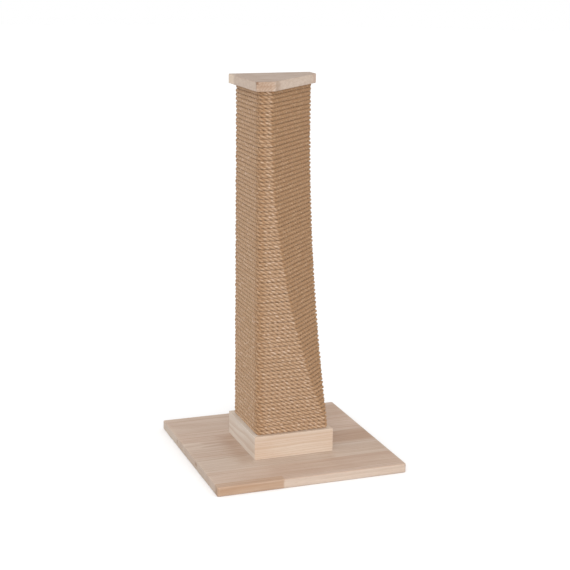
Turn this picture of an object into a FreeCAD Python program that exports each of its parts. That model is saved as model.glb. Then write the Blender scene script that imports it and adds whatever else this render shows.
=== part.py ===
import FreeCAD, Part
import math
import os

# Cat scratching post, 744 mm tall: a square edge-glued base board, a plinth of four mitred
# boards, a hollow plywood core with one concave corner face, jute rope wound round it from
# the plinth to the top, and a three-cornered cap board with two cut tips.
#
# Millimetres, +Z up. The origin is the middle of the base board's underside. The front is
# -Y and the concave face looks towards +X -Y. The core's corners are named
#   A (-X +Y), B (-X -Y), C (+X -Y, the corner that the concave face takes away), D (+X +Y).

# ---- sizes --------------------------------------------------------------------------------

# base board
base_side = 380.0
base_thickness = 18.0
base_corner_round = 3.0       # upright corners
base_edge_round = 1.6         # top and bottom edges

# rope
rope_dia = 8.0                # room that the laid rope takes on the core
rope_squeeze = 0.05           # turns may lie this much closer than that
turn_gap = 0.5                # the round tube is this much thinner than its room
rope_pieces = 4               # the winding is laid in this many pieces, end to end
end_gap = 0.4                 # between the cut ends of two pieces
rope_bend_blunt = 6.0         # centre line's radius round the concave face's two edges
rope_bend_climb = 30.0        # centre line's radius where a turn leaves and meets its level
climb_half = 40.0             # turns climb on the back, this far to either side of its middle
rope_clearance = 0.1          # between the first turn and the plinth, and the last and the cap

# post
body_side = 150.0             # square body, measured over the rope
post_height = 662.0           # roped height, plinth to cap
stub_width = 27.0             # what the concave face leaves of faces BC and CD at the top
scoop_drop = 40.0             # from the cap down to where the concave face is deepest
panel_thickness = 12.0        # flat plywood sides of the core
curved_thickness = 6.0        # bent plywood of the concave face
core_corner_round = 4.0
shoulder_depth = 4.5          # thickness of the bent panel's foot, on the two panels below it

# plinth
plinth_height = 46.0
plinth_board = 13.5
socket_clearance = 0.5        # core to plinth board, each side
plinth_edge_round = 1.0

# inside of the core
foot_block_height = 30.0
rib_thickness = 12.0
rib_lower_height = 232.0      # undersides of the two ribs, above the base board
rib_upper_height = 462.0
top_plate_thickness = 18.0

# cap
cap_thickness = 18.0
cap_overhang = 8.25           # past the rope, on its flat sides
cap_scoop_overhang = 6.0      # past the rope, on the concave side
cap_tip_round = 8.0           # the concave side's two blunt corners
cap_corner_round = 2.0
cap_edge_round = 1.2

# dowels between the top plate and the cap
dowel_dia = 8.0
dowel_in_cap = 12.0
dowel_corner_inset = 14.0     # from the core's inner walls at corner A
dowel_tip_inset = 35.0        # of the other two from the inner walls at corners B and D

# bolts through the base board into the foot block
bolt_dia = 8.0
bolt_head_dia = 16.0
bolt_grip = 17.0              # length above the base board
bolt_inset = 25.0             # from the core's inner walls
bolt_hex = 5.0                # socket, across flats
bolt_hex_depth = 2.5
insert_dia = 12.0
insert_length = 20.0

# screws through the base board into the plinth
plinth_screw_dia = 4.0
plinth_screw_head = 8.0
plinth_screw_grip = 24.0      # length above the base board
plinth_screw_inset = 40.0     # from the plinth's outer corners

# screws through the core's flat panels
panel_screw_dia = 3.5
panel_screw_head = 7.0
panel_screw_grip = 18.0       # length past the panel
panel_screw_inset = 22.0      # from the core's outer corners
foot_screw_height = 15.0      # of the lowest row, above the base board

# staples that hold the rope's ends
staple_wire = 1.2
staple_crown = 5.0
staple_bite = 6.0             # depth in the back panel
staple_from_end = 10.0

# shared clearances
fastener_clearance = 0.1      # radial, fastener to hole
head_recess = 0.5             # heads lie this far below the surface
hole_spare = 1.0              # blind holes run this far past their fastener
plate_clearance = 0.2         # bent panel to the plates and ribs behind it

# ---- places that follow from the sizes ----------------------------------------------------

base_top = base_thickness
plinth_top = base_top + plinth_height
cap_low = plinth_top + post_height
core_side = body_side - 2 * rope_dia
core_half = core_side / 2
inner_half = core_half - panel_thickness
plinth_side = core_side + 2 * (socket_clearance + plinth_board)
cap_side = body_side + 2 * cap_overhang

# The concave face is part of a level cylinder whose axis runs square to the diagonal from
# corner A to corner C, a little below the cap. "Depth" is measured along that diagonal from
# the post's middle: it is scoop_depth_top at the cap and the whole of corner C's at the
# plinth. The rope's outside, the rope's centre line and both faces of the bent panel share
# this axis.
diagonal = FreeCAD.Vector(1, -1, 0) / math.sqrt(2)
across = FreeCAD.Vector(1, 1, 0) / math.sqrt(2)
scoop_depth_top = stub_width / math.sqrt(2)
scoop_sag = body_side / math.sqrt(2) - scoop_depth_top
scoop_axis_z = cap_low - scoop_drop
axis_to_top = (((scoop_axis_z - plinth_top) ** 2 - scoop_drop ** 2) / scoop_sag + scoop_sag) / 2
scoop_radius = math.hypot(axis_to_top, scoop_drop)
scoop_axis_depth = scoop_depth_top + axis_to_top
core_scoop_radius = scoop_radius + rope_dia
inner_scoop_radius = core_scoop_radius + curved_thickness
corner_depth = core_half * math.sqrt(2) - core_corner_round * (math.sqrt(2) - 1)


def scoop_depth(radius, z):
    # depth of the concave surface of that radius at height z
    return scoop_axis_depth - math.sqrt(radius ** 2 - (scoop_axis_z - z) ** 2)


def scoop_height(radius, depth):
    # height, below the axis, at which the concave surface of that radius has that depth
    return scoop_axis_z - math.sqrt(radius ** 2 - (scoop_axis_depth - depth) ** 2)


shoulder_z = scoop_height(inner_scoop_radius, corner_depth - shoulder_depth)

# ---- helpers ------------------------------------------------------------------------------

sides = (-1, 1)


def vector(x, y, z=0.0):
    return FreeCAD.Vector(x, y, z)


up = vector(0, 0, 1)


def block(low, high):
    # box between two opposite corners
    size = [b - a for a, b in zip(low, high)]
    return Part.makeBox(*size, vector(*low))


def prism(outline, z_low, z_high):
    # upright solid on a closed outline of (x, y) corners
    corners = [vector(x, y, z_low) for x, y in outline]
    face = Part.Face(Part.makePolygon(corners + corners[:1]))
    return face.extrude(vector(0, 0, z_high - z_low))


def upright_edges(solid, places=None):
    # the solid's upright edges, or only those that stand at the given (x, y) places
    found = []
    for edge in solid.Edges:
        foot, head = edge.Vertexes[0].Point, edge.Vertexes[-1].Point
        upright = math.hypot(foot.x - head.x, foot.y - head.y) < 1e-6
        if upright and (places is None or any(math.dist((foot.x, foot.y), spot) < 1e-3 for spot in places)):
            found.append(edge)
    return found


def level_edges(solid):
    # edges of the solid's top and bottom faces
    level = []
    for edge in solid.Edges:
        box = edge.BoundBox
        at_end = min(box.ZMin - solid.BoundBox.ZMin, solid.BoundBox.ZMax - box.ZMax) < 1e-6
        if box.ZLength < 1e-6 and at_end:
            level.append(edge)
    return level


def placed(shape, point, direction):
    # a copy of a shape made along +Z, turned to a direction and moved to a point
    copy = shape.copy()
    copy.Placement = FreeCAD.Placement(point, FreeCAD.Rotation(up, direction))
    return copy


def cylinder(dia, z_low, z_high, x=0.0, y=0.0):
    return Part.makeCylinder(dia / 2, z_high - z_low, vector(x, y, z_low))


def countersunk(dia, head_dia, length, grow=0.0, spare=0.0):
    # a countersunk shank along +Z with its head's face at z 0, or with grow the hole for it,
    # which then also opens the surface that the head is sunk below
    head_height = (head_dia - dia) / 2
    shank = cylinder(dia + 2 * grow, 0, length + spare)
    head = Part.makeCone(head_dia / 2 + grow, dia / 2 + grow, head_height)
    solid = shank.fuse(head)
    if grow:
        solid = solid.fuse(cylinder(head_dia + 2 * grow, -2 * head_recess, 0))
    return solid.removeSplitter()


def wood_screw(dia, head_dia, length):
    # countersunk screw with a point and a cross recess
    point_length = 1.5 * dia
    tip_radius = dia / 10
    bar_width = dia / 5
    bar_length = head_dia / 2
    bar_depth = dia / 3
    body = countersunk(dia, head_dia, length - point_length)
    point = Part.makeCone(dia / 2, tip_radius, point_length, vector(0, 0, length - point_length))
    bar = block((-bar_length / 2, -bar_width / 2, 0), (bar_length / 2, bar_width / 2, bar_depth))
    cross = bar.fuse(bar.rotated(vector(0, 0), up, 90))
    return body.fuse(point).removeSplitter().cut(cross)


def scoop(radius, z_low):
    # everything in front of the concave surface of that radius, from z_low up to the cap
    reach = cap_side
    axis_point = diagonal * scoop_axis_depth + vector(0, 0, scoop_axis_z) - across * reach
    drum = Part.makeCylinder(radius, 2 * reach, axis_point, across)
    return drum.common(block((-reach, -reach, z_low), (reach, reach, cap_low)))


def all_of(shapes):
    return Part.makeCompound(shapes)


# ---- fasteners: where they are, and the holes that take them --------------------------------

bolt_reach = inner_half - bolt_inset
bolt_points = [vector(i * bolt_reach, j * bolt_reach, head_recess) for i in sides for j in sides]
bolt_length = base_thickness - head_recess + bolt_grip

screw_line = (plinth_side - plinth_board) / 2            # middle of a plinth board
screw_reach = plinth_side / 2 - plinth_screw_inset
plinth_screw_points = [
    vector(*spot, head_recess)
    for side in sides for step in sides
    for spot in ((side * screw_line, step * screw_reach), (step * screw_reach, side * screw_line))
]
plinth_screw_length = base_thickness - head_recess + plinth_screw_grip

foot_screw_z = base_top + foot_screw_height
rib_lower_z = base_top + rib_lower_height
rib_upper_z = base_top + rib_upper_height
rib_screw_z = [z + rib_thickness / 2 for z in (rib_lower_z, rib_upper_z)]
top_screw_z = cap_low - top_plate_thickness / 2
panel_screw_length = panel_thickness - head_recess + panel_screw_grip
screw_row = core_half - panel_screw_inset


def panel_screw_spots():
    # (point on the panel's sunk face, inward direction) for each screw in the flat panels:
    # two at the foot block, the left and back panels two at each rib and at the top plate,
    # and the front and right panels one at the first rib, clear of the concave face
    surface = core_half - head_recess
    full_levels = [foot_screw_z, *rib_screw_z, top_screw_z]
    spots = []
    for z in full_levels:
        for along in (-screw_row, screw_row):
            if z == foot_screw_z or along < 0:
                spots.append((vector(-surface, -along, z), vector(1, 0, 0)))
                spots.append((vector(along, surface, z), vector(0, -1, 0)))
    for z in (foot_screw_z, rib_screw_z[0]):
        spots.append((vector(-screw_row, -surface, z), vector(0, 1, 0)))
        spots.append((vector(surface, screw_row, z), vector(-1, 0, 0)))
    return spots


panel_screw_places = panel_screw_spots()

dowel_corner = inner_half - dowel_corner_inset
dowel_tip = inner_half - dowel_tip_inset
dowel_spots = [(-dowel_corner, dowel_corner), (-dowel_corner, -dowel_tip), (dowel_tip, dowel_corner)]
dowel_low = cap_low - top_plate_thickness
dowel_high = cap_low + dowel_in_cap


def sunk_holes(dia, head_dia, length, places):
    # holes for countersunk fasteners at (point, direction) places
    hole = countersunk(dia, head_dia, length, fastener_clearance, hole_spare)
    return all_of([placed(hole, point, direction) for point, direction in places])


bolt_holes = sunk_holes(bolt_dia, bolt_head_dia, bolt_length, [(p, up) for p in bolt_points])
plinth_screw_holes = sunk_holes(
    plinth_screw_dia, plinth_screw_head, plinth_screw_length, [(p, up) for p in plinth_screw_points]
)
panel_screw_holes = sunk_holes(panel_screw_dia, panel_screw_head, panel_screw_length, panel_screw_places)
insert_holes = all_of([
    cylinder(insert_dia + 2 * fastener_clearance, base_top, base_top + insert_length + hole_spare, p.x, p.y)
    for p in bolt_points
])
dowel_holes = all_of([
    cylinder(dowel_dia + 2 * fastener_clearance, dowel_low, dowel_high + hole_spare, x, y)
    for x, y in dowel_spots
])

# ---- base and plinth ----------------------------------------------------------------------


def base_board():
    half = base_side / 2
    board = block((-half, -half, 0), (half, half, base_thickness))
    board = board.makeFillet(base_corner_round, upright_edges(board))
    board = board.makeFillet(base_edge_round, level_edges(board))
    return board.cut(bolt_holes).cut(plinth_screw_holes)


def plinth_front_board():
    # long outer face at -Y, mitred at both ends
    outer = plinth_side / 2
    inner = outer - plinth_board
    outline = [(-outer, -outer), (outer, -outer), (inner, -inner), (-inner, -inner)]
    board = prism(outline, base_top, plinth_top)
    top_edges = [
        e for e in board.Edges
        if e.BoundBox.ZMin > plinth_top - 1e-6 and e.BoundBox.YMax < -outer + 1e-6
    ]
    return board.makeFillet(plinth_edge_round, top_edges)


def plinth_boards():
    # the same board four times round, each with its own two screw holes
    names = ("plinth_front", "plinth_right", "plinth_back", "plinth_left")
    board = plinth_front_board()
    middle = vector(0, 0, 0)
    return {name: board.rotated(middle, up, 90 * i).cut(plinth_screw_holes) for i, name in enumerate(names)}


# ---- core ---------------------------------------------------------------------------------

core_prism = block((-core_half, -core_half, base_top), (core_half, core_half, cap_low))
core_prism = core_prism.makeFillet(core_corner_round, upright_edges(core_prism))
inner_scoop = scoop(inner_scoop_radius, shoulder_z)
plate_scoop = scoop(inner_scoop_radius + plate_clearance, base_top)


def flat_panel(low, high):
    # an upright panel between two plan corners, cut to the core's outline and the bent panel
    slab = block((*low, base_top), (*high, cap_low))
    return slab.common(core_prism).cut(inner_scoop).cut(panel_screw_holes)


def core_panels():
    full, clear = core_half, inner_half
    return {
        "core_front_panel": flat_panel((-full, -full), (full, -clear)),
        "core_left_panel": flat_panel((-full, -clear), (-clear, full)),
        "core_right_panel": flat_panel((clear, -clear), (full, full)),
        "core_back_panel": flat_panel((-clear, clear), (clear, full)).cut(staple_holes),
    }


def core_curved_panel():
    # bent plywood across corner C, from its foot on the shoulder to the cap
    return core_prism.common(inner_scoop).cut(scoop(core_scoop_radius, base_top))


def core_plate(z_low, thickness):
    # a level plate that fills the core's hollow
    plate = block((-inner_half, -inner_half, z_low), (inner_half, inner_half, z_low + thickness))
    return plate.cut(plate_scoop).cut(panel_screw_holes)


def foot_block():
    return core_plate(base_top, foot_block_height).cut(insert_holes)


def top_plate():
    return core_plate(cap_low - top_plate_thickness, top_plate_thickness).cut(dowel_holes)


# ---- cap ----------------------------------------------------------------------------------


def cap_board():
    # the rope's outline at the top, grown by the overhangs
    half = cap_side / 2
    stub = stub_width + cap_scoop_overhang * math.sqrt(2)       # length of the two short sides
    tips = [(-half + stub, -half), (half, half - stub)]
    corners = [(-half, half), (-half, -half), (half, half)]
    outline = [corners[0], corners[1], tips[0], tips[1], corners[2]]
    board = prism(outline, cap_low, cap_low + cap_thickness)
    board = board.makeFillet(cap_tip_round, upright_edges(board, tips))
    board = board.makeFillet(cap_corner_round, upright_edges(board, corners))
    board = board.makeFillet(cap_edge_round, level_edges(board))
    return board.cut(dowel_holes)


# ---- fasteners ----------------------------------------------------------------------------


def base_bolts():
    corner = bolt_hex / math.sqrt(3)
    angles = [math.radians(60 * i) for i in range(6)]
    key = [(corner * math.cos(a), corner * math.sin(a)) for a in angles]
    bolt = countersunk(bolt_dia, bolt_head_dia, bolt_length).cut(prism(key, 0, bolt_hex_depth))
    return all_of([placed(bolt, p, up) for p in bolt_points])


def bolt_inserts():
    # threaded sleeves in the foot block
    bore = cylinder(bolt_dia + 2 * fastener_clearance, 0, insert_length)
    sleeve = cylinder(insert_dia, 0, insert_length).cut(bore)
    return all_of([placed(sleeve, vector(p.x, p.y, base_top), up) for p in bolt_points])


def plinth_screws():
    screw = wood_screw(plinth_screw_dia, plinth_screw_head, plinth_screw_length)
    return all_of([placed(screw, p, up) for p in plinth_screw_points])


def panel_screws():
    screw = wood_screw(panel_screw_dia, panel_screw_head, panel_screw_length)
    return all_of([placed(screw, p, d) for p, d in panel_screw_places])


def cap_dowels():
    return all_of([cylinder(dowel_dia, dowel_low, dowel_high, x, y) for x, y in dowel_spots])


# ---- rope ---------------------------------------------------------------------------------

tube_dia = rope_dia - turn_gap
lay_half = core_half + rope_dia / 2                       # the centre line's half side
lay_scoop_radius = scoop_radius + rope_dia / 2
first_turn_z = plinth_top + tube_dia / 2 + rope_clearance
last_turn_z = cap_low - tube_dia / 2 - rope_clearance
rope_climbs = int((last_turn_z - first_turn_z) / (rope_dia - rope_squeeze))
rope_pitch = (last_turn_z - first_turn_z) / rope_climbs   # from one level to the next
rope_turns = rope_climbs + 1
rope_bend_square = core_corner_round + rope_dia / 2       # round corners A, B and D
blunt_half_turn = math.radians(22.5)
least_cut = 1.5 * rope_bend_blunt * math.tan(blunt_half_turn)    # keeps corner C's two bends apart


def level_corners(z):
    # where the centre line bends on a turn's level at height z: the end of the climb, corners
    # A and B, the concave face's two edges, D, and the start of the next climb
    half = lay_half
    cut = max(2 * half - scoop_depth(lay_scoop_radius, z) * math.sqrt(2), least_cut)
    plan = [
        (-climb_half, half), (-half, half), (-half, -half), (half - cut, -half),
        (half, cut - half), (half, half), (climb_half, half),
    ]
    return [vector(x, y, z) for x, y in plan]


def climb_point(turn, x):
    # the centre line at x on the back, on the climb that leads up to that turn
    return vector(x, lay_half, first_turn_z + (turn - 0.5 - x / (2 * climb_half)) * rope_pitch)


def winding_points(first, last):
    # the centre line's bends from one turn to another, between the piece's two cut ends: the
    # rope starts and stops on a level, and pieces meet halfway up a climb
    points = []
    for turn in range(first, last + 1):
        points += level_corners(first_turn_z + turn * rope_pitch)
    if first > 0:
        points.insert(0, climb_point(first, -end_gap / 2))
    if last < rope_climbs:
        points.append(climb_point(last + 1, end_gap / 2))
    return points


def bent_path(points):
    # straight runs joined by tangent arcs, each with its kind of corner's radius
    edges, start = [], points[0]
    for before, corner, after in zip(points, points[1:], points[2:]):
        to_corner = (corner - before).normalize()
        from_corner = (after - corner).normalize()
        half_turn = to_corner.getAngle(from_corner) / 2
        radius = rope_bend_climb
        if half_turn > blunt_half_turn / 2:
            radius = rope_bend_blunt
        if half_turn > blunt_half_turn * 1.5:
            radius = rope_bend_square
        reach = radius * math.tan(half_turn)
        inward = (from_corner - to_corner).normalize()
        low, high = corner - to_corner * reach, corner + from_corner * reach
        middle = corner + inward * (radius / math.cos(half_turn) - radius)
        edges.append(Part.LineSegment(start, low).toShape())
        edges.append(Part.Arc(low, middle, high).toShape())
        start = high
    edges.append(Part.LineSegment(start, points[-1]).toShape())
    return Part.Wire(edges)


def least_gap(path):
    # least free distance between the tube and itself: points along the path are set against
    # those from half a turn to one and a half turns further on
    step = 5.0
    points = path.discretize(Number=int(path.Length / step))
    half_turn = int(4 * lay_half / step)
    nearest = min(
        point.distanceToPoint(other)
        for i, point in enumerate(points)
        for other in points[i + half_turn:i + 3 * half_turn]
    )
    return nearest - tube_dia


def piece_turns():
    # (first, last) turn of each piece of rope
    each, spare = divmod(rope_turns, rope_pieces)
    spans, first = [], 0
    for number in range(rope_pieces):
        count = each + 1 if number < spare else each
        spans.append((first, first + count - 1))
        first += count
    return spans


def rope_windings():
    windings = {}
    for number, (first, last) in enumerate(piece_turns(), start=1):
        points = winding_points(first, last)
        path = bent_path(points)
        ring = Part.Wire(Part.makeCircle(tube_dia / 2, points[0], points[1] - points[0]))
        tube = path.makePipeShell([ring], True, False)
        share = tube.Volume / (math.pi * tube_dia ** 2 / 4 * path.Length)
        print(f"rope piece {number}: {last - first + 1} turns, {path.Length / 1000:.2f} m, least gap to"
              f" itself {least_gap(path):.2f} mm, volume over section times length {share:.4f}")
        windings[f"rope_winding_{number}"] = tube.cut(staple_holes)
    return windings


def staple_spots():
    # on the back, one by the rope's start on the first level, one by its end on the last, and
    # one to either side of each joint between two pieces
    outer = climb_half + staple_from_end
    spots = [vector(-outer, 0, first_turn_z), vector(outer, 0, last_turn_z)]
    for first, _ in piece_turns()[1:]:
        spots += [climb_point(first, side * staple_from_end) for side in sides]
    return spots


def staple(spot, grow=0.0):
    # crown upright on the rope's outside, legs through the rope into the back panel
    wire = staple_wire / 2 + grow
    outside = core_half + rope_dia + staple_wire / 2
    depth = outside - core_half + staple_bite + grow
    inward = vector(0, -1, 0)
    bends = [vector(spot.x, outside, spot.z + side * staple_crown / 2) for side in sides]
    crown = Part.makeCylinder(wire, staple_crown, bends[0], up)
    legs = [Part.makeCylinder(wire, depth, bend, inward) for bend in bends]
    return crown.multiFuse(legs + [Part.makeSphere(wire, bend) for bend in bends])


def rope_staples():
    return all_of([staple(spot) for spot in staple_spots()])


staple_holes = all_of([staple(spot, fastener_clearance) for spot in staple_spots()])

# ---- the parts ----------------------------------------------------------------------------

parts = {
    "base_board": base_board(),
    **plinth_boards(),
    **core_panels(),
    "core_curved_panel": core_curved_panel(),
    "foot_block": foot_block(),
    "rib_lower": core_plate(rib_lower_z, rib_thickness),
    "rib_upper": core_plate(rib_upper_z, rib_thickness),
    "top_plate": top_plate(),
    "cap_board": cap_board(),
    "cap_dowels": cap_dowels(),
    "base_bolts": base_bolts(),
    "bolt_inserts": bolt_inserts(),
    "plinth_screws": plinth_screws(),
    "panel_screws": panel_screws(),
    **rope_windings(),
    "rope_staples": rope_staples(),
}

os.makedirs("parts", exist_ok=True)
for name, shape in parts.items():
    shape.exportStep(f"parts/{name}.step")
    print(f"{name}: {len(shape.Solids)} solids, valid {shape.isValid()}, {shape.Volume / 1000:.1f} cm3")
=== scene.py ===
import math

import bpy
import numpy as np
from mathutils import Matrix, Vector


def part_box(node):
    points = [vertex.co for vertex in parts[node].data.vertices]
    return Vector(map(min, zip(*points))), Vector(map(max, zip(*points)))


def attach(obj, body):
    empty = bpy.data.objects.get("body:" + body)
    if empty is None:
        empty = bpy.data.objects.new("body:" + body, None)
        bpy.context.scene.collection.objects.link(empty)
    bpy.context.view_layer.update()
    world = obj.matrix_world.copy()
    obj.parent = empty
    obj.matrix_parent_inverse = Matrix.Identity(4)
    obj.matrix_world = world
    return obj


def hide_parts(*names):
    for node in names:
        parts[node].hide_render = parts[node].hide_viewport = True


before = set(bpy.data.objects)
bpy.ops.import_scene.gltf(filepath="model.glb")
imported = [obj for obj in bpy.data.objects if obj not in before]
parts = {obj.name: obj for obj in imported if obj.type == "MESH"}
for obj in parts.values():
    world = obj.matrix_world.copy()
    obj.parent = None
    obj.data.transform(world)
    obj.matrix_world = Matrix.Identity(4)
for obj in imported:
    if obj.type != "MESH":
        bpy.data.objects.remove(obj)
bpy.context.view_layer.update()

scene = bpy.context.scene
print("frame loaded,", len(parts), "parts")

# Cat scratching post. Metres, +Z up, the front is -Y, and the concave face looks to +X -Y.


def fromScreen(red, green, blue):
    # A colour as a screen shows it, 0 to 255, as Blender's linear colour.
    shares = [value / 255 for value in (red, green, blue)]
    return (*(s / 12.92 if s <= 0.04045 else ((s + 0.055) / 1.055) ** 2.4 for s in shares), 1)


def put(tree, kind, given=None, **settings):
    # Adds a node. What is given goes to its inputs, by name or number: a value, or a socket to link.
    node = tree.nodes.new(kind)
    for name, value in settings.items():
        setattr(node, name, value)
    for name, value in (given or {}).items():
        if isinstance(value, bpy.types.NodeSocket):
            tree.links.new(value, node.inputs[name])
        else:
            node.inputs[name].default_value = value
    return node


def maths(tree, operation, *values):
    return put(tree, "ShaderNodeMath", dict(enumerate(values)), operation=operation).outputs[0]


def vectors(tree, operation, *values):
    # Vector maths; a length or a dot product comes out as a number.
    node = put(tree, "ShaderNodeVectorMath", dict(enumerate(values)), operation=operation)
    return node.outputs["Value" if operation in ("LENGTH", "DOT_PRODUCT") else "Vector"]


def scaled(tree, vector, share):
    return put(tree, "ShaderNodeVectorMath", {0: vector, "Scale": share}, operation="SCALE").outputs[0]


def between(tree, value, low, high, toLow=0.0, toHigh=1.0, smooth=True):
    # A value moved from one range to another and held inside it.
    kind = "SMOOTHSTEP" if smooth else "LINEAR"
    given = {"Value": value, "From Min": low, "From Max": high, "To Min": toLow, "To Max": toHigh}
    return put(tree, "ShaderNodeMapRange", given, interpolation_type=kind, clamp=True).outputs["Result"]


def noise(tree, where, cells, detail, roughness=0.5, shift=(0, 0, 0)):
    # Noise with that many cells to a metre along each axis.
    drawn = put(tree, "ShaderNodeMapping", {"Vector": where, "Scale": cells, "Location": shift}).outputs[0]
    given = {"Vector": drawn, "Scale": 1.0, "Detail": detail, "Roughness": roughness}
    return put(tree, "ShaderNodeTexNoise", given).outputs


def wander(tree, where, cells, detail):
    # A vector of noise that wanders about nought.
    return vectors(tree, "SUBTRACT", noise(tree, where, cells, detail)["Color"], (0.5, 0.5, 0.5))


def stretched(tree, where, cells, detail, low, high, most=1.0, smooth=True, **more):
    # Noise as a mask: its range from low to high, drawn out to 0 to most.
    return between(tree, noise(tree, where, cells, detail, **more)["Fac"], low, high, 0.0, most, smooth)


def mixed(tree, share, first, second, blend="MIX"):
    node = put(tree, "ShaderNodeMix", data_type="RGBA", blend_type=blend, clamp_result=False)
    for name, value in (("Factor_Float", share), ("A_Color", first), ("B_Color", second)):
        socket = next(s for s in node.inputs if s.identifier == name)
        if isinstance(value, bpy.types.NodeSocket):
            tree.links.new(value, socket)
        else:
            socket.default_value = value
    return next(s for s in node.outputs if s.identifier == "Result_Color")


def ramp(tree, value, stops):
    node = put(tree, "ShaderNodeValToRGB", {"Fac": value})
    band = node.color_ramp
    while len(band.elements) < len(stops):
        band.elements.new(0.5)
    for element, (place, colour) in zip(band.elements, stops):
        element.position = place
        element.color = colour
    return node.outputs["Color"]


def newGroup(name, inputs, outputs):
    # A node group with its named sockets; returns it with its way in and its way out.
    group = bpy.data.node_groups.new(name, "ShaderNodeTree")
    for title, kind in inputs:
        group.interface.new_socket(title, in_out="INPUT", socket_type=kind)
    for title, kind in outputs:
        group.interface.new_socket(title, in_out="OUTPUT", socket_type=kind)
    wayIn = group.nodes.new("NodeGroupInput")
    wayOut = group.nodes.new("NodeGroupOutput")
    return group, wayIn.outputs, wayOut.inputs


def useGroup(tree, group, given):
    return put(tree, "ShaderNodeGroup", given, node_tree=group).outputs


def newMaterial(name, roughness=0.62, specular=0.35):
    material = bpy.data.materials.new(name)
    material.use_nodes = True
    tree = material.node_tree
    shader = tree.nodes["Principled BSDF"]
    shader.inputs["Roughness"].default_value = roughness
    shader.inputs["Specular IOR Level"].default_value = specular
    return material, tree, shader


def bumpInto(tree, shader, height, strength, distance):
    bump = put(tree, "ShaderNodeBump", {"Height": height, "Strength": strength, "Distance": distance})
    tree.links.new(bump.outputs["Normal"], shader.inputs["Normal"])


cameraLook = {
    "azimuth": -20.30,        # degrees from the front, towards -X
    "elevation": 14.26,
    "roll": 0.74,
    "lens": 85.21,
    "distance": 2.6273,
    "targetHeight": 0.3413,
    "targetRight": 0.0063,
    "sensorWidth": 36,
    "clipEnd": 60,
}


def placeCamera(look):
    turn, lift, roll = (math.radians(look[key]) for key in ("azimuth", "elevation", "roll"))
    back = Vector((math.sin(turn) * math.cos(lift), -math.cos(turn) * math.cos(lift), math.sin(lift)))
    right = Vector((math.cos(turn), math.sin(turn), 0))
    up = back.cross(right)
    target = right * look["targetRight"] + Vector((0, 0, look["targetHeight"]))
    sideways = right * math.cos(roll) + up * math.sin(roll)
    upwards = up * math.cos(roll) - right * math.sin(roll)
    place = Matrix((sideways, upwards, back)).transposed().to_4x4()
    place.translation = target + back * look["distance"]
    lens = bpy.data.cameras.new("camera")
    lens.lens = look["lens"]
    lens.sensor_width = look["sensorWidth"]
    lens.clip_end = look["clipEnd"]
    camera = bpy.data.objects.new("camera", lens)
    camera.matrix_world = place
    scene.collection.objects.link(camera)
    scene.camera = camera


lightLook = {
    "skyPower": 1.1,
    "skySlope": (0.0, -0.2, 0.0),       # the studio is brightest in front
    "keyFrom": (-1.1, -3.2, 0.85),
    "keyAim": (0, 0, 0.35),
    "keySize": 1.6,
    "keyPower": 54,
    "keyColour": (1.0, 0.99, 0.98),
    "floorSeen": (0.96, 0.96, 0.96, 1),
    "floorLit": (0.5, 0.5, 0.5, 1),     # what light bounces off it
    "floorRings": (0.5, 1, 2, 4, 8, 14),
    "floorSides": 64,
}


def placeLights(look):
    # The sky's brightness is its power plus the slope times the direction. What is seen past
    # the floor is plain white.
    world = bpy.data.worlds.new("studio")
    world.use_nodes = True
    tree = world.node_tree
    way = tree.nodes.new("ShaderNodeTexCoord").outputs["Generated"]
    power = maths(tree, "ADD", vectors(tree, "DOT_PRODUCT", way, look["skySlope"]), look["skyPower"])
    seen = put(tree, "ShaderNodeLightPath").outputs["Is Camera Ray"]
    power = maths(tree, "MAXIMUM", power, seen)
    tree.links.new(power, tree.nodes["Background"].inputs["Strength"])
    tree.nodes["Background"].inputs["Color"].default_value = (1, 1, 1, 1)
    scene.world = world
    lamp = bpy.data.lights.new("key", "AREA")
    lamp.shape = "DISK"
    lamp.size = look["keySize"]
    lamp.energy = look["keyPower"]
    lamp.color = look["keyColour"]
    key = bpy.data.objects.new("key", lamp)
    key.location = look["keyFrom"]
    aim = Vector(look["keyAim"]) - key.location
    key.rotation_euler = aim.to_track_quat("-Z", "Y").to_euler()
    scene.collection.objects.link(key)


def layFloor(look):
    # A disc: (r cos a, r sin a, 0) for every pair of ring radius r and angle a.
    radii = look["floorRings"]
    sides = look["floorSides"]
    angles = np.linspace(0, 2 * np.pi, sides, endpoint=False)
    grid = np.stack([np.outer(radii, np.cos(angles)), np.outer(radii, np.sin(angles))], -1)
    points = np.concatenate([[[0.0, 0.0]], grid.reshape(-1, 2)])
    points = np.column_stack([points, np.zeros(len(points))])
    around = np.arange(sides)
    nextOne = (around + 1) % sides
    fan = [(0, 1 + a, 1 + b) for a, b in zip(around, nextOne)]
    rings = [(1 + r * sides + a, 1 + (r + 1) * sides + a, 1 + (r + 1) * sides + b, 1 + r * sides + b)
             for r in range(len(radii) - 1) for a, b in zip(around, nextOne)]
    mesh = bpy.data.meshes.new("floor")
    mesh.from_pydata(points.tolist(), [], fan + rings)
    floor = bpy.data.objects.new("floor", mesh)
    scene.collection.objects.link(floor)
    paint, tree, shader = newMaterial("floorPaper", roughness=1, specular=0)
    seen = put(tree, "ShaderNodeLightPath").outputs["Is Camera Ray"]
    tree.links.new(mixed(tree, seen, look["floorLit"], look["floorSeen"]), shader.inputs["Base Color"])
    mesh.materials.append(paint)


scene.view_settings.view_transform = "Standard"
placeCamera(cameraLook)
placeLights(lightLook)
layFloor(lightLook)
print("camera, light and floor placed")


floatKind, vectorKind = "NodeSocketFloat", "NodeSocketVector"


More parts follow.
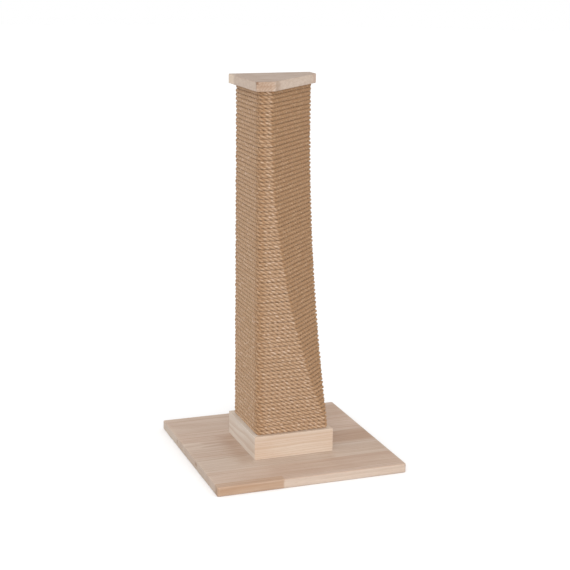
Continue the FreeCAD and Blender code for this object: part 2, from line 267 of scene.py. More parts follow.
# What all the wood shares. Cells are counted to a metre, along the grain and across it, and low
# and high are the range of the noise that counts.
woodLook = {
    "sway": {"cells": (3.5, 16, 16), "detail": 2.0},           # rings and fibres wander
    "ragged": {"cells": (10, 150, 150), "detail": 3.0},        # and so do the edges of patches
    "fibre": {
        "cells": (9, 620, 620), "detail": 4.0, "roughness": 0.65, "low": 0.3, "high": 0.7, "smooth": False},
    "pores": {"cells": (110, 1500, 1500), "detail": 1.0, "low": 0.62, "high": 0.74},
    "cloud": {"cells": (7, 34, 34), "detail": 3.0, "low": 0.3, "high": 0.7},
    "flecks": {"cells": (34, 130, 210), "detail": 1.0, "low": 0.4, "high": 0.65},
    "ringUneven": 2.4,            # in rings
    "ringChange": 0.31,           # how fast that changes from ring to ring
    "lateWood": (0.25, 0.93),     # a ring darkens between these shares of it, then ends
    "staveShift": 0.9,            # metres at most between the grain of two staves
    "jointWidth": 0.0006,
    "jointShare": 0.5,
    "fibreHeight": 0.5,           # shares of the bump's height
    "poreDepth": 0.5,
    "bumpStrength": 0.35,
    "bumpHeight": 0.0003,
    "roughness": (0.55, 0.7),     # between fibres and on them
}


def buildGrainGroup(look):
    # Wood as a solid: rings round a pith that lies along X, fibres and pores drawn out along X.
    tree, given, made = newGroup(
        "woodGrain",
        [("Vector", vectorKind), ("Pith", vectorKind), ("Ring Width", floatKind), ("Waviness", floatKind)],
        [(name, floatKind) for name in ("Rings", "Fibre", "Pores", "Cloud", "Flecks")],
    )
    sway = scaled(tree, wander(tree, given["Vector"], **look["sway"]), given["Waviness"])
    bent = vectors(tree, "ADD", given["Vector"], sway)
    flat = vectors(tree, "MULTIPLY", vectors(tree, "SUBTRACT", bent, given["Pith"]), (0.0, 1.0, 1.0))
    turns = maths(tree, "DIVIDE", vectors(tree, "LENGTH", flat), given["Ring Width"])
    uneven = {"W": turns, "Scale": look["ringChange"], "Detail": 1.0}
    uneven = put(tree, "ShaderNodeTexNoise", uneven, noise_dimensions="1D").outputs["Fac"]
    phase = maths(tree, "FRACT", maths(tree, "MULTIPLY_ADD", uneven, look["ringUneven"], turns))
    low, high = look["lateWood"]
    late = between(tree, phase, low, high)
    early = between(tree, phase, high, 1.0, 1.0, 0.0)
    tree.links.new(maths(tree, "MULTIPLY", late, early), made["Rings"])
    for name, where in (("Fibre", bent), ("Pores", bent), ("Cloud", given["Vector"]), ("Flecks", bent)):
        tree.links.new(stretched(tree, where, **look[name.lower()]), made[name])
    return tree


def buildPatchGroup(look):
    # A soft-edged block of space, 1 inside and 0 outside, with ends that run out along the grain.
    tree, given, made = newGroup(
        "woodPatch",
        [(name, vectorKind) for name in ("Vector", "Middle", "Half Size", "Soft")],
        [("Mask", floatKind)],
    )
    ragged = vectors(tree, "MULTIPLY", wander(tree, given["Vector"], **look["ragged"]), given["Soft"])
    place = vectors(tree, "SUBTRACT", given["Vector"], given["Middle"])
    place = vectors(tree, "ABSOLUTE", vectors(tree, "ADD", place, ragged))
    over = vectors(tree, "DIVIDE", vectors(tree, "SUBTRACT", place, given["Half Size"]), given["Soft"])
    axes = put(tree, "ShaderNodeSeparateXYZ", {0: over}).outputs
    most = maths(tree, "MAXIMUM", maths(tree, "MAXIMUM", axes[0], axes[1]), axes[2])
    tree.links.new(between(tree, most, -0.5, 0.5, 1.0, 0.0), made["Mask"])
    return tree


def buildStaveGroup(look):
    # Boards side by side across Y: a number for each board, and how near its joints are.
    tree, given, made = newGroup(
        "woodStaves",
        [("Vector", vectorKind), ("Width", floatKind), ("First Joint", floatKind), ("Seed", floatKind)],
        [("Tone", floatKind), ("Shift", vectorKind), ("Joint", floatKind)],
    )
    y = put(tree, "ShaderNodeSeparateXYZ", {0: given["Vector"]}).outputs["Y"]
    along = maths(tree, "DIVIDE", maths(tree, "SUBTRACT", y, given["First Joint"]), given["Width"])
    number = maths(tree, "ADD", maths(tree, "FLOOR", along), given["Seed"])
    drawn = put(tree, "ShaderNodeTexWhiteNoise", {"W": number}, noise_dimensions="1D").outputs
    tree.links.new(drawn["Value"], made["Tone"])
    tree.links.new(drawn["Color"], made["Shift"])
    inMetres = maths(tree, "MULTIPLY", maths(tree, "PINGPONG", along, 0.5), given["Width"])
    tree.links.new(between(tree, inMetres, 0.0, look["jointWidth"], 1.0, 0.0), made["Joint"])
    return tree


grainGroup = buildGrainGroup(woodLook)
patchGroup = buildPatchGroup(woodLook)
staveGroup = buildStaveGroup(woodLook)


def ownPlace(tree, turn=0.0, shift=(0.0, 0.0, 0.0), tilt=0.0):
    # Object coordinates, turned about Z or tilted about Y so that the grain runs along X.
    where = put(tree, "ShaderNodeTexCoord").outputs["Object"]
    rotation = (0.0, math.radians(tilt), math.radians(turn))
    given = {"Vector": where, "Location": shift, "Rotation": rotation}
    return put(tree, "ShaderNodeMapping", given).outputs[0]


def dress(material, *names):
    for name in names:
        mesh = parts[name].data
        mesh.materials.clear()
        mesh.materials.append(material)


def finishWood(tree, shader, tone, grain, joint=0.0):
    look = woodLook
    tree.links.new(tone, shader.inputs["Base Color"])
    height = maths(tree, "MULTIPLY", grain["Fibre"], look["fibreHeight"])
    height = maths(tree, "MULTIPLY_ADD", grain["Pores"], -look["poreDepth"], height)
    height = maths(tree, "SUBTRACT", height, joint)
    bumpInto(tree, shader, height, look["bumpStrength"], look["bumpHeight"])
    tree.links.new(between(tree, grain["Fibre"], 0.0, 1.0, *look["roughness"]), shader.inputs["Roughness"])


def patchMask(tree, where, middle, half, soft):
    given = {"Vector": where, "Middle": middle, "Half Size": half, "Soft": soft}
    return useGroup(tree, patchGroup, given)["Mask"]


def addPatches(tree, where, tone, look):
    for middle, half, soft, colour, strength in look["patches"].values():
        mask = patchMask(tree, where, middle, half, soft)
        tone = mixed(tree, maths(tree, "MULTIPLY", mask, strength), tone, look[colour])
    return tone


baseLook = {
    "pale": fromScreen(192, 174, 159),
    "warm": fromScreen(187, 162, 145),
    "line": fromScreen(150, 120, 98),
    "brown": fromScreen(156, 121, 94),
    "light": fromScreen(209, 193, 178),
    "ochre": fromScreen(164, 124, 86),
    "staveWidth": 0.0725,
    "firstJoint": -0.117,
    "seed": 4.0,
    "pith": (0.0, 0.02, -0.06),
    "ringWidth": 0.0042,
    "waviness": 0.012,
    "cloudShare": 0.45,
    "ringShare": 0.36,
    "fleckShare": 0.0,
    "fibreShare": 0.24,
    "poreShare": 0.38,
    "patches": {                  # middle, half size, softness, colour, strength
        "frontLeft": ((-0.128, -0.186, 0.009), (0.069, 0.0145, 0.012), (0.004, 0.006, 0.02), "ochre", 0.55),
        "leftEdge": ((-0.19, 0.0, 0.008), (0.004, 0.185, 0.009), (0.003, 0.02, 0.003), "light", 0.4),
        "leftEdgeBack": ((-0.19, 0.13, 0.008), (0.004, 0.055, 0.009), (0.003, 0.02, 0.003), "light", 0.95),
        "frontEdge": ((0.065, -0.19, 0.008), (0.125, 0.004, 0.009), (0.004, 0.003, 0.003), "light", 0.55),
        "frontRight": ((0.13, -0.12, 0.018), (0.075, 0.058, 0.004), (0.05, 0.02, 0.004), "brown", 0.24),
        "endKnot": ((-0.19, -0.050, 0.011), (0.004, 0.007, 0.0035), (0.003, 0.006, 0.003), "brown", 0.6),
        "endSpotBack": ((-0.19, 0.083, 0.010), (0.004, 0.0035, 0.004), (0.003, 0.003, 0.003), "brown", 0.6),
        "endSpotFront": ((-0.19, -0.183, 0.009), (0.004, 0.005, 0.008), (0.003, 0.004, 0.003), "brown", 0.35),
        # Painted shade: a soft darker band on the board beside the plinth's left face.
        "paintedShadeBesidePlinth": ((-0.098, -0.01, 0.018), (0.014, 0.080, 0.003), (0.035, 0.03, 0.004), "brown", 0.34),
        "frontMiddle": ((0.01, -0.145, 0.018), (0.075, 0.022, 0.006), (0.05, 0.02, 0.01), "brown", 0.15),
        "darkBoard": ((0.15, -0.012, 0.018), (0.062, 0.031, 0.02), (0.05, 0.02, 0.02), "brown", 0.6),
        "lightBand": ((0.14, -0.108, 0.018), (0.066, 0.007, 0.02), (0.02, 0.004, 0.02), "light", 0.3),
        "lightLeft": ((-0.18, 0.036, 0.018), (0.028, 0.008, 0.02), (0.02, 0.006, 0.02), "light", 0.5),
        "backRight": ((0.15, 0.137, 0.018), (0.05, 0.036, 0.02), (0.06, 0.02, 0.02), "brown", 0.3),
    },
}


def buildStavedWood(name, look, details=None):
    # Glued boards: each stave has its own tone and its own stretch of grain.
    material, tree, shader = newMaterial(name)
    where = ownPlace(tree)
    staves = useGroup(tree, staveGroup, {
        "Vector": where, "Width": look["staveWidth"],
        "First Joint": look["firstJoint"], "Seed": look["seed"]})
    shift = scaled(tree, staves["Shift"], woodLook["staveShift"])
    grain = useGroup(tree, grainGroup, {
        "Vector": vectors(tree, "ADD", where, shift), "Pith": vectors(tree, "ADD", shift, look["pith"]),
        "Ring Width": look["ringWidth"], "Waviness": look["waviness"]})
    tone = mixed(tree, staves["Tone"], look["pale"], look["warm"])
    tone = mixed(tree, maths(tree, "MULTIPLY", grain["Cloud"], look["cloudShare"]), tone, look["light"])
    tone = mixed(tree, maths(tree, "MULTIPLY", grain["Rings"], look["ringShare"]), tone, look["line"])
    tone = mixed(tree, maths(tree, "MULTIPLY", grain["Flecks"], look["fleckShare"]), tone, look["line"])
    tone = addPatches(tree, where, tone, look)
    if details:
        tone = details(tree, where, grain, tone, look)
    tone = mixed(tree, between(tree, grain["Fibre"], 0.0, 1.0, 0.0, look["fibreShare"]), tone, look["line"])
    tone = mixed(tree, maths(tree, "MULTIPLY", grain["Pores"], look["poreShare"]), tone, look["brown"])
    joint = maths(tree, "MULTIPLY", staves["Joint"], woodLook["jointShare"])
    tone = mixed(tree, joint, tone, look["brown"])
    finishWood(tree, shader, tone, grain, staves["Joint"])
    return material


dress(buildStavedWood("baseWood", baseLook), "base_board")
print("base board dressed")


plinthLook = {
    "pale": fromScreen(202, 186, 170),
    "warm": fromScreen(195, 173, 154),
    "line": fromScreen(170, 138, 110),
    "brown": fromScreen(160, 124, 94),
    "ringWidth": 0.0031,
    "waviness": 0.01,
    "ringShare": 0.32,
    "fibreShare": 0.14,
    "poreShare": 0.22,
}


def buildPlinthWood(name, look, turn, pith, along):
    material, tree, shader = newMaterial(name)
    where = ownPlace(tree, turn, (along, 0.0, 0.0))
    grain = useGroup(tree, grainGroup, {
        "Vector": where, "Pith": pith, "Ring Width": look["ringWidth"], "Waviness": look["waviness"]})
    tone = mixed(tree, grain["Cloud"], look["warm"], look["pale"])
    tone = mixed(tree, maths(tree, "MULTIPLY", grain["Rings"], look["ringShare"]), tone, look["line"])
    tone = mixed(tree, between(tree, grain["Fibre"], 0.0, 1.0, 0.0, look["fibreShare"]), tone, look["line"])
    tone = mixed(tree, maths(tree, "MULTIPLY", grain["Pores"], look["poreShare"]), tone, look["brown"])
    finishWood(tree, shader, tone, grain)
    return material


# Painted light: the left board is a paler, bluer copy of the plinth wood, standing in for the cooler light on
# that side.
plinthLeftPaintedLightLook = {**plinthLook, "pale": fromScreen(214, 204, 193), "warm": fromScreen(206, 192, 178)}
dress(buildPlinthWood("plinthWoodFront", plinthLook, 0, (0.0, -0.02, 0.09), 0.3), "plinth_front")
dress(buildPlinthWood("plinthWoodBack", plinthLook, 0, (0.0, 0.03, -0.05), 0.9), "plinth_back")
dress(buildPlinthWood("plinthWoodLeft", plinthLeftPaintedLightLook, -90, (0.0, -0.12, 0.08), 0.5), "plinth_left")
dress(buildPlinthWood("plinthWoodRight", plinthLook, -90, (0.0, 0.13, -0.04), 1.4), "plinth_right")
print("plinth dressed")


capLook = {
    "pale": fromScreen(204, 187, 173),
    "warm": fromScreen(199, 178, 162),
    "line": fromScreen(158, 130, 108),
    "brown": fromScreen(146, 112, 84),
    "light": fromScreen(206, 189, 174),
    "straw": fromScreen(226, 208, 188),
    "rose": fromScreen(186, 158, 142),
    "grey": fromScreen(146, 128, 116),
    "tan": fromScreen(158, 130, 107),
    "knot": fromScreen(112, 78, 52),
    "staveWidth": 0.062,
    "firstJoint": -0.042,
    "seed": 11.0,
    "pith": (0.0, -0.02, 0.69),
    "ringWidth": 0.0046,
    "waviness": 0.014,
    "cloudShare": 0.4,
    "ringShare": 0.42,
    "fleckShare": 0.6,
    "fibreShare": 0.26,
    "poreShare": 0.4,
    "archMiddle": (-0.022, 0.0, 0.690),      # the front end's rings arch over this line along Y
    "archWidth": 0.0048,
    "archPlace": ((-0.064, -0.083, 0.735), (0.022, 0.004, 0.0085), (0.020, 0.003, 0.003)),
    "archBand": (0.15, 0.45),
    "archShare": 0.5,
    "topGrey": 0.52,              # the upper face's share of grey, which darkens it
    "greyFrom": 0.0012,           # metres under the upper face where it starts, and where it
    "greyFull": 0.0002,           # is full
    "patches": {
        "leftSide": ((-0.083, 0.0, 0.735), (0.004, 0.080, 0.0085), (0.003, 0.006, 0.003), "light", 0.65),
        "frontStub": ((-0.068, -0.083, 0.735), (0.015, 0.006, 0.012), (0.022, 0.006, 0.006), "tan", 0.55),
        "frontKnot": ((-0.0815, -0.0825, 0.742), (0.002, 0.003, 0.0022), (0.003, 0.003, 0.003), "knot", 0.9),
        "leftEnd": ((-0.083, 0.066, 0.735), (0.006, 0.016, 0.012), (0.004, 0.014, 0.006), "straw", 0.85),
        "longSide": ((0.02, -0.02, 0.735), (0.070, 0.070, 0.0085), (0.006, 0.006, 0.003), "light", 0.6),
        "rightTip": ((0.078, 0.047, 0.735), (0.010, 0.010, 0.012), (0.006, 0.006, 0.006), "rose", 0.6),
        "pastStub": ((-0.045, -0.074, 0.735), (0.010, 0.007, 0.012), (0.016, 0.010, 0.006), "tan", 0.65),
    },
}


def addCapDetails(tree, where, grain, tone, look):
    # Rings that arch up to the right on the front end, and a greyer upper face.
    away = vectors(tree, "MULTIPLY", vectors(tree, "SUBTRACT", where, look["archMiddle"]), (1.0, 0.0, 1.0))
    away = vectors(tree, "LENGTH", away)
    arches = maths(tree, "MULTIPLY_ADD", away, 1 / look["archWidth"], grain["Flecks"])
    arches = between(tree, maths(tree, "PINGPONG", arches, 0.5), *look["archBand"])
    mask = patchMask(tree, where, *look["archPlace"])
    arches = maths(tree, "MULTIPLY", arches, maths(tree, "MULTIPLY", mask, look["archShare"]))
    tone = mixed(tree, arches, tone, look["brown"])
    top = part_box("cap_board")[1].z
    height = put(tree, "ShaderNodeSeparateXYZ", {0: where}).outputs["Z"]
    upper = between(tree, height, top - look["greyFrom"], top - look["greyFull"], 0.0, look["topGrey"])
    return mixed(tree, upper, tone, look["grey"])


dress(buildStavedWood("capWood", capLook, addCapDetails), "cap_board")
print("cap board dressed")


# The core, the dowels and most fasteners are hidden.
coreLook = {
    "face": fromScreen(196, 168, 132),
    "darkPly": fromScreen(150, 112, 78),
    "palePly": fromScreen(206, 180, 146),
    "plyThickness": 0.0015,
    "plyEdge": (0.46, 0.54),      # a dark ply ends between these shares of a pair
    "plyGrain": {"Pith": (0.0, 0.3, 0.2), "Ring Width": 0.006, "Waviness": 0.03},
    "faceShare": 0.55,
    "ringShare": 0.4,
    "fibreShare": 0.25,
    "dowelDark": fromScreen(200, 172, 136),
    "dowelPale": fromScreen(216, 192, 158),
    "dowelLine": fromScreen(172, 138, 100),
    "dowelGrain": {"Pith": (0.0, 0.1, 0.1), "Ring Width": 0.002, "Waviness": 0.004},
    "dowelRings": 0.3,
    "zincDark": fromScreen(158, 158, 160),
    "zincPale": fromScreen(198, 198, 196),
    "zincSpots": 420.0,           # to a metre
    "zincRoughness": (0.28, 0.46),
}


def buildPlywood(name, look, across):
    # Thin layers across one axis, light and dark by turns, with a veneer's long grain.
    material, tree, shader = newMaterial(name, roughness=0.7)
    grain = {"Vector": ownPlace(tree, tilt=90), **look["plyGrain"]}
    grain = useGroup(tree, grainGroup, grain)
    place = put(tree, "ShaderNodeSeparateXYZ", {0: ownPlace(tree)}).outputs[across]
    layer = maths(tree, "FRACT", maths(tree, "DIVIDE", place, 2 * look["plyThickness"]))
    tone = mixed(tree, between(tree, layer, *look["plyEdge"]), look["palePly"], look["darkPly"])
    tone = mixed(tree, look["faceShare"], tone, look["face"])
    tone = mixed(tree, maths(tree, "MULTIPLY", grain["Rings"], look["ringShare"]), tone, look["darkPly"])
    tone = mixed(tree, maths(tree, "MULTIPLY", grain["Fibre"], look["fibreShare"]), tone, look["palePly"])
    tree.links.new(tone, shader.inputs["Base Color"])
    bumpInto(tree, shader, grain["Fibre"], 0.3, 0.0003)
    return material


def buildDowelWood(look):
    material, tree, shader = newMaterial("dowelWood", roughness=0.6)
    grain = {"Vector": ownPlace(tree, tilt=90), **look["dowelGrain"]}
    grain = useGroup(tree, grainGroup, grain)
    tone = mixed(tree, grain["Fibre"], look["dowelDark"], look["dowelPale"])
    tone = mixed(tree, maths(tree, "MULTIPLY", grain["Rings"], look["dowelRings"]), tone, look["dowelLine"])
    tree.links.new(tone, shader.inputs["Base Color"])
    bumpInto(tree, shader, grain["Fibre"], 0.3, 0.0002)
    return material


def buildZincSteel(look):
    material, tree, shader = newMaterial("zincSteel", roughness=0.36, specular=0.5)
    shader.inputs["Metallic"].default_value = 1
    spots = {"Vector": ownPlace(tree), "Scale": look["zincSpots"], "Detail": 3.0}
    spots = put(tree, "ShaderNodeTexNoise", spots).outputs["Fac"]
    tone = ramp(tree, spots, [(0.3, look["zincDark"]), (0.7, look["zincPale"])])
    tree.links.new(tone, shader.inputs["Base Color"])
    tree.links.new(between(tree, spots, 0.3, 0.7, *look["zincRoughness"]), shader.inputs["Roughness"])
    bumpInto(tree, shader, spots, 0.15, 0.0001)
    return material


sidePanels = ("core_left_panel", "core_right_panel", "core_curved_panel")
fasteners = ("base_bolts", "bolt_inserts", "plinth_screws", "panel_screws", "rope_staples")
dress(buildPlywood("plywoodAcrossX", coreLook, "X"), *sidePanels)
dress(buildPlywood("plywoodAcrossY", coreLook, "Y"), "core_front_panel", "core_back_panel")
dress(buildPlywood("plywoodAcrossZ", coreLook, "Z"), "foot_block", "rib_lower", "rib_upper", "top_plate")
dress(buildDowelWood(coreLook), "cap_dowels")
dress(buildZincSteel(coreLook), *fasteners)
print("core and fasteners dressed")


ropeLook = {
    "pieces": [21, 21, 21, 20],   # turns in each piece, from the plinth up
    "layHalf": 0.071,             # centre line to the post's middle on the flat faces
    "bodySide": 0.150,
    "stubWidth": 0.027,           # what the concave face leaves of its neighbours at the top
    "scoopDrop": 0.040,           # from the cap down to the concave face's deepest place
    "size": 0.008,
    "clearance": 0.00385,         # first turn's centre line above the plinth, last below the cap
    "endGap": 0.0004,
    "climbHalf": 0.040,           # a turn climbs on the back, this far to either side of the middle
    "squareBend": 0.008,
    "bluntBend": 0.006,
    "climbBend": 0.030,
    "leastCut": 1.5,              # times the way a blunt bend takes up on each side of it
    "arcPoints": 15,
    "bendSpan": 9,                # points over which a bend's effect fades
    "lay": 0.031,                 # a strand's way along the rope in one turn round it
    "grooveDepth": 0.36,          # of the rope's radius, between two strands
    "grooveAtBend": 0.1,          # how much deeper the grooves open round a corner
    "grooveInHollow": 0.65,       # share of that depth left on the concave face
    "crownPower": 3.2,
    "step": 0.0021,
    "thickness": 0.0052,          # radius to a strand's crown, before the turns press together
    "pressedIn": 0.0016,          # the centre line's way towards the core
    "pressedFlat": 12,            # sharpness of the flats where turns touch
    "strands": 3,
    "lobe": (-60, -47, -26, 0, 26, 47),      # degrees from a strand's crown where its surface lies
    "unevenness": {               # size, wave lengths along the rope, and seed
        "height": (0.00013, (0.211, 0.347, 0.83, 1.31), 3),
        "depth": (0.00015, (0.057, 0.093, 0.171, 0.41), 5),
        "thickness": (0.028, (0.021, 0.037, 0.064, 0.118), 7),
        "strand": (0.02, (0.017, 0.029, 0.051), 11),
        "lay": (0.5, (0.19, 0.33, 0.71), 19),
    },
    "hollowSlope": 4,             # the painted shade of the concave face starts where the outward direction's lean to +X -Y, times the slope, passes the start
    "hollowStart": 2.95,          # direction's lean to +X -Y, times the slope, passes the start
    "paintedShadeReach": 0.016,         # reach of the painted shade from a square corner
    "paintedShadeSlip": 0.007,          # this band of painted shade lies off the front left corner, on the left face
    "paintedShadeAtCorners": 0.56,          # of the concave face's painted shade
    "dark": fromScreen(142, 108, 79),
    "middle": fromScreen(173, 140, 110),
    "fair": fromScreen(206, 178, 148),
    "fleck": fromScreen(210, 185, 164),
    "paintedShadeTint": (0.79, 0.69, 0.56, 1),      # painted shade of the rope on the concave face and by the corners
    "sheen": fromScreen(236, 214, 190),
    "fibreNoise": {
        "cells": (70, 260, 1), "detail": 4.0, "roughness": 0.7, "low": 0.28, "high": 0.72, "smooth": False},
    "patchNoise": {"cells": (6, 34, 1), "detail": 2.0, "low": 0.3, "high": 0.7},
    "fleckNoise": {"cells": (13, 120, 1), "detail": 1.0, "low": 0.5, "high": 0.72, "most": 0.7},
    "strandsApart": 40.0,         # in the noises' cells, from the first strand to past the last
    "patchShare": 0.35,
    "grooveShadePainted": 0.7,            # share of the dark tone painted into a groove as shade
    "grooveShadePaintedInHollow": 0.35,   # share of that painted groove shade on the concave face
    "yarns": {"Scale": 6.7, "Distortion": 1.2, "Detail": 1.0},
    "yarnHeight": 0.6,
    "roughness": (0.95, 0.8),     # of dark and of fair fibres
}

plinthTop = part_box("plinth_front")[1].z
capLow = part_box("cap_board")[0].z
turnsInAll = sum(ropeLook["pieces"])
firstTurn = plinthTop + ropeLook["clearance"]
ropePitch = (capLow - ropeLook["clearance"] - firstTurn) / (turnsInAll - 1)


def cutAt(heights, look):
    # How much of corner C the concave face takes off the centre line at each height: the face
    # is a level cylinder, so its depth is the axis' depth less sqrt(radius^2 - drop^2).
    drop = look["scoopDrop"]
    axis = capLow - drop
    shallow = look["stubWidth"] / math.sqrt(2)
    sag = look["bodySide"] / math.sqrt(2) - shallow
    toTop = (((axis - plinthTop) ** 2 - drop ** 2) / sag + sag) / 2
    radius = math.hypot(toTop, drop) + look["size"] / 2
    depth = shallow + toTop - np.sqrt(radius ** 2 - (axis - heights) ** 2)
    least = look["leastCut"] * look["bluntBend"] * math.tan(math.radians(45 / 2))
    return np.maximum(2 * look["layHalf"] - depth * math.sqrt(2), least)


def windingCorners(first, last, look):
    # Each turn lies level, with seven bends: the end of the climb on the back, corners A and
    # B, the concave face's two edges, D, and the start of the next climb. Pieces meet halfway
    # up a climb. Returns the bends with the two ends, and the radius of each bend.
    half, climb, gap = look["layHalf"], look["climbHalf"], look["endGap"] / 2
    heights = firstTurn + ropePitch * np.arange(first, last + 1)
    cut = cutAt(heights, look)
    plan = np.zeros((len(heights), 7, 3))
    plan[:, :, 0] = [-climb, -half, -half, half, half, half, climb]
    plan[:, :, 1] = [half, half, -half, -half, -half, half, half]
    plan[:, :, 2] = heights[:, None]
    plan[:, 3, 0] -= cut
    plan[:, 4, 1] += cut
    corners = plan.reshape(-1, 3)
    square, blunt, gentle = look["squareBend"], look["bluntBend"], look["climbBend"]
    radii = np.tile([gentle, square, square, blunt, blunt, square, gentle], len(heights))
    if first > 0:
        corners = np.concatenate([[[-gap, half, heights[0] - ropePitch / 2]], corners])
    else:
        radii = radii[1:]
    if last < turnsInAll - 1:
        corners = np.concatenate([corners, [[gap, half, heights[-1] + ropePitch / 2]]])
    else:
        radii = radii[:-1]
    return corners, radii


def windingLine(first, last, look):
    # The tight rope's centre line: straight between corners, and at each corner the arc
    # centre + radius (sin t along + cos t outward), t from minus to plus half the turn.
    corners, radius = windingCorners(first, last, look)
    before = corners[1:-1] - corners[:-2]
    after = corners[2:] - corners[1:-1]
    before /= np.linalg.norm(before, axis=1)[:, None]
    after /= np.linalg.norm(after, axis=1)[:, None]
    halfTurn = np.arccos(np.clip((before * after).sum(1), -1, 1)) / 2
    inward = after - before
    inward /= np.linalg.norm(inward, axis=1)[:, None]
    along = after + before
    along /= np.linalg.norm(along, axis=1)[:, None]
    centre = corners[1:-1] + inward * (radius / np.cos(halfTurn))[:, None]
    swing = np.linspace(-1, 1, look["arcPoints"])[None, :] * halfTurn[:, None]
    arcs = centre[:, None] + radius[:, None, None] * (
        np.sin(swing)[..., None] * along[:, None] - np.cos(swing)[..., None] * inward[:, None])
    line = np.concatenate([corners[:1], arcs.reshape(-1, 3), corners[-1:]])
    way = np.concatenate([[0], np.cumsum(np.linalg.norm(np.diff(line, axis=0), axis=1))])
    count = int(way[-1] / look["step"])
    even = np.linspace(0, way[-1], count + 1)
    return even, np.stack([np.interp(even, way, line[:, axis]) for axis in range(3)], 1)


def waver(way, unevenness, extraSeed=0):
    # A smooth wave that never repeats: the sum of sines of the wave lengths, over the root of
    # their number, times the size.
    size, lengths, seed = unevenness
    phases = np.random.default_rng(seed + extraSeed).uniform(0, 2 * np.pi, len(lengths))
    waves = np.sin(2 * np.pi * way[:, None] / np.array(lengths) + phases)
    return size * (waves.sum(1) / math.sqrt(len(lengths)))


def held(offset, room, sharpness):
    # An offset pressed flat at its room: d / (1 + |d / room|^n)^(1/n).
    return offset / (1 + np.abs(offset / room) ** sharpness) ** (1 / sharpness)


def ropeSurface(way, s, centre, look):
    # Three strands laid to the right. The surface is centre line(s) + r(a, s) (cos t outward +
    # sin t upward) with t = a + 2 pi s / lay, and r dips by the groove's depth between strands:
    # r = radius (1 - depth |sin 1.5 a|^power), a measured from a strand's crown. Where turns
    # and core press on it, the offset is held to its room. The centre line that comes in is
    # moved in place.
    uneven = look["unevenness"]
    ahead = np.gradient(centre, axis=0)
    ahead /= np.linalg.norm(ahead, axis=1)[:, None]
    outward = np.cross(ahead, (0.0, 0.0, 1.0))
    outward /= np.linalg.norm(outward, axis=1)[:, None]
    upward = np.cross(ahead, outward)
    lean = (outward[:, 0] - outward[:, 1]) / math.sqrt(2)
    lean = np.clip(lean * look["hollowSlope"] - look["hollowStart"], 0, 1)
    centre[:, 2] += waver(s, uneven["height"])
    centre += outward * (waver(s, uneven["depth"]) - look["pressedIn"])[:, None]
    bend = np.linalg.norm(np.gradient(ahead, way, axis=0), axis=1) * look["squareBend"]
    fade = np.hanning(look["bendSpan"])
    bend = np.clip(np.convolve(bend, fade / fade.sum(), "same"), 0, 1)
    lobe = np.tile(np.radians(look["lobe"]), look["strands"])
    strand = np.repeat(np.arange(look["strands"]), len(look["lobe"])) / look["strands"]
    dip = np.abs(np.sin(look["strands"] / 2 * lobe)) ** look["crownPower"]
    swell = np.stack([waver(s, uneven["strand"], k) for k in range(look["strands"])], 1)
    swell = np.repeat(swell, len(look["lobe"]), axis=1)
    deep = look["grooveDepth"] * (1 + look["grooveAtBend"] * bend)
    deep *= 1 + (look["grooveInHollow"] - 1) * lean
    thick = look["thickness"] * (1 + waver(s, uneven["thickness"]))
    radius = thick[:, None] * (1 - deep[:, None] * dip) * (1 + swell)
    lay = 2 * np.pi * s / look["lay"] + waver(s, uneven["lay"])
    t = lobe + 2 * np.pi * strand + lay[:, None]
    off = radius * np.cos(t)
    off = np.where(off < 0, held(off, look["size"] / 2 - look["pressedIn"], look["pressedFlat"]), off)
    rise = held(radius * np.sin(t), ropePitch / 2, look["pressedFlat"])
    points = centre[:, None] + off[..., None] * outward[:, None] + rise[..., None] * upward[:, None]
    # The place round the rope, in turns from a strand's own start, stays the same along a fibre.
    around = lobe / (2 * np.pi) + strand + 1 / (2 * look["strands"]) + (lay / (2 * np.pi))[:, None]
    return points, lean, dip, strand, around


def tubeMesh(name, points, ends):
    # Quads from ring to ring and a fan at each end. Returns the mesh and its face corners' points.
    rows, columns = points.shape[:2]
    row = np.arange(rows - 1)[:, None] * columns
    column = np.arange(columns)[None]
    following = (column + 1) % columns
    quads = np.stack([row + column, row + columns + column, row + columns + following, row + following], -1)
    quads = quads.reshape(-1, 4)[:, ::-1]
    tail = (rows - 1) * columns
    startFan = np.stack([following[0], column[0], np.full(columns, rows * columns)], 1)
    endFan = np.stack([tail + column[0], tail + following[0], np.full(columns, rows * columns + 1)], 1)
    corners = np.concatenate([quads.ravel(), startFan.ravel(), endFan.ravel()]).astype(np.int32)
    sizes = np.concatenate([np.full(len(quads), 4), np.full(2 * columns, 3)])
    everything = np.concatenate([points.reshape(-1, 3), ends])
    mesh = bpy.data.meshes.new(name)
    mesh.vertices.add(len(everything))
    mesh.vertices.foreach_set("co", everything.astype(np.float32).ravel())
    mesh.loops.add(len(corners))
    mesh.loops.foreach_set("vertex_index", corners)
    mesh.polygons.add(len(sizes))
    mesh.polygons.foreach_set("loop_start", np.concatenate([[0], np.cumsum(sizes)[:-1]]).astype(np.int32))
    mesh.polygons.foreach_set("use_smooth", np.ones(len(sizes), bool))
    mesh.update(calc_edges=True)
    return mesh, corners


def mapFibres(mesh, corners, around, s):
    # A UV map: x is the place round the rope in turns and y the way along it in metres. Faces
    # that close the ring take x one turn on.
    rows, columns = around.shape
    u = np.concatenate([around.ravel(), around[[0, -1], 0]])
    v = np.concatenate([np.repeat(s, columns), s[[0, -1]]])
    uv = np.stack([u[corners], v[corners]], 1)
    wraps = np.zeros((rows - 1, columns, 4), bool)
    wraps[:, -1, :2] = True
    uv[:wraps.size, 0] += wraps.ravel()
    layer = mesh.uv_layers.new(name="fibreMap")
    layer.uv.foreach_set("vector", uv.astype(np.float32).ravel())


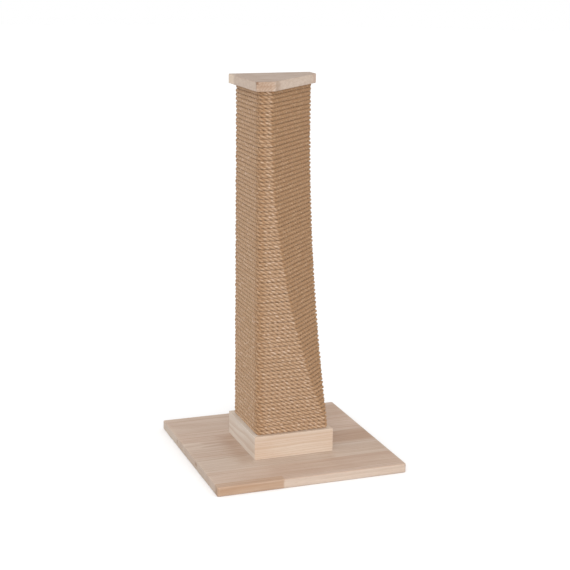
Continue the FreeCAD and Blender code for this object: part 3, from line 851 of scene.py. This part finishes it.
def markStrands(mesh, centre, lean, dip, strand, look):
    # An attribute: groove depth, strand, and painted shade, which is a smooth step of the
    # lean to +X -Y or of nearness to a square corner.
    half = look["layHalf"]
    square = np.array([[-half, half], [-half, look["paintedShadeSlip"] - half], [half, half]])
    away = np.linalg.norm(centre[:, None, :2] - square[None], axis=2).min(1)
    nearby = np.clip((look["paintedShadeReach"] - away) / look["squareBend"], 0, 1)
    paintedShade = np.maximum(lean, look["paintedShadeAtCorners"] * nearby)
    paintedShade = paintedShade * paintedShade * (3 - 2 * paintedShade)
    deep = np.tile(dip, len(centre))
    which = np.tile(strand, len(centre))
    marks = np.stack([deep, which, np.repeat(paintedShade, len(dip))], 1)
    marks = np.concatenate([marks, np.zeros((2, 3))])
    mark = mesh.attributes.new("strandMark", "FLOAT_VECTOR", "POINT")
    mark.data.foreach_set("vector", marks.astype(np.float32).ravel())


def buildRopePiece(number, first, last, wayBefore, look):
    way, centre = windingLine(first, last, look)
    s = way + wayBefore
    points, lean, dip, strand, around = ropeSurface(way, s, centre, look)
    name = f"ropeWinding{number}"
    mesh, corners = tubeMesh(name, points, centre[[0, -1]])
    mapFibres(mesh, corners, around, s)
    markStrands(mesh, centre, lean, dip, strand, look)
    piece = bpy.data.objects.new(name, mesh)
    scene.collection.objects.link(piece)
    mesh.validate()
    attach(piece, "root")
    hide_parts(f"rope_winding_{number}")
    triangles = len(corners) - 2 * len(mesh.polygons)
    print(f"{name}: turns {first} to {last}, {way[-1]:.2f} m, {triangles} triangles")
    return piece, s[-1]


def buildJute(look):
    material, tree, shader = newMaterial("juteRope", roughness=0.9, specular=0.2)
    shader.inputs["Sheen Weight"].default_value = 0.25
    shader.inputs["Sheen Roughness"].default_value = 0.5
    shader.inputs["Sheen Tint"].default_value = look["sheen"]
    fibreMap = put(tree, "ShaderNodeUVMap", uv_map="fibreMap").outputs["UV"]
    mark = put(tree, "ShaderNodeAttribute", attribute_name="strandMark").outputs["Vector"]
    groove, strand, paintedShade = put(tree, "ShaderNodeSeparateXYZ", {0: mark}).outputs
    apart = maths(tree, "MULTIPLY", strand, look["strandsApart"])
    apart = put(tree, "ShaderNodeCombineXYZ", {"Z": apart}).outputs[0]
    fibre = stretched(tree, fibreMap, shift=apart, **look["fibreNoise"])
    patchy = stretched(tree, fibreMap, shift=apart, **look["patchNoise"])
    flecks = stretched(tree, fibreMap, shift=apart, **look["fleckNoise"])
    tone = ramp(tree, fibre, [(0.0, look["dark"]), (0.45, look["middle"]), (1.0, look["fair"])])
    tone = mixed(tree, maths(tree, "MULTIPLY", patchy, look["patchShare"]), tone, look["middle"])
    tone = mixed(tree, flecks, tone, look["fleck"])
    # Painted shade: the grooves between strands take the dark tone, less of it on the concave face.
    darker = between(tree, groove, 0.2, 1.0, 0.0, look["grooveShadePainted"])
    lighter = between(tree, paintedShade, 0.7, 1.0, 1.0, look["grooveShadePaintedInHollow"])
    tone = mixed(tree, maths(tree, "MULTIPLY", darker, lighter), tone, look["dark"])
    # Painted shade: the rope on the concave face and by the corners is darkened and warmed.
    tone = mixed(tree, paintedShade, tone, look["paintedShadeTint"], "MULTIPLY")
    tree.links.new(tone, shader.inputs["Base Color"])
    yarns = {"Vector": fibreMap, **look["yarns"]}
    yarns = put(tree, "ShaderNodeTexWave", yarns, bands_direction="X").outputs["Fac"]
    height = maths(tree, "MULTIPLY_ADD", yarns, look["yarnHeight"], fibre)
    bumpInto(tree, shader, height, 0.6, 0.0004)
    tree.links.new(between(tree, fibre, 0.0, 1.0, *look["roughness"]), shader.inputs["Roughness"])
    return material


jute = buildJute(ropeLook)
wayBefore, first = 0.0, 0
for number, turns in enumerate(ropeLook["pieces"], start=1):
    piece, wayBefore = buildRopePiece(number, first, first + turns - 1, wayBefore, ropeLook)
    piece.data.materials.append(jute)
    first += turns
print("rope wound")
